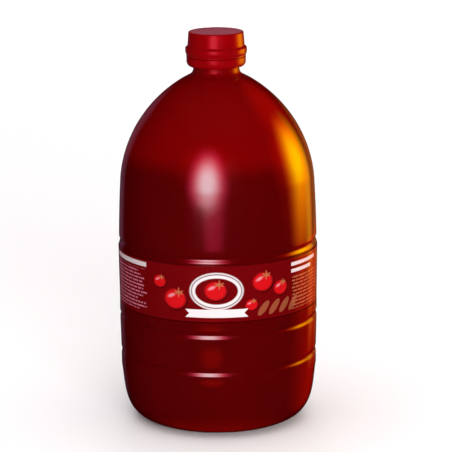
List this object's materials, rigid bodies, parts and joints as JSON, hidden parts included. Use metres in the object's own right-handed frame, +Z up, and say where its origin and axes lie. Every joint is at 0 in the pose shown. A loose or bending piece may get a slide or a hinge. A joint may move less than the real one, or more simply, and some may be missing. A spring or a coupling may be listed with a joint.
{
  "type": "ketchup bottle",
  "caption": "Large round blow-moulded ketchup bottle with a domed shoulder, ring grooves round its side, a wrap-round label and a smooth screw cap with a tamper band.",
  "frame": {"origin": "middle of the base, on the surface that the bottle stands on", "axes": "+Z up along the bottle's axis of revolution; the middle of the label's front faces -Y"},
  "size_m": [0.147, 0.147, 0.2893],
  "materials": {
    "bottle_wall": "glossy translucent red, blow-moulded",
    "ketchup": "smooth thick sauce",
    "label_film": "glossy printed film",
    "closure": "satin-gloss injection-moulded"
  },
  "bodies": {
    "root": {"bottle": "bottle_wall", "ketchup": "ketchup", "label": "label_film", "tamper_band": "closure", "cap": "closure"}
  },
  "joints": []
}
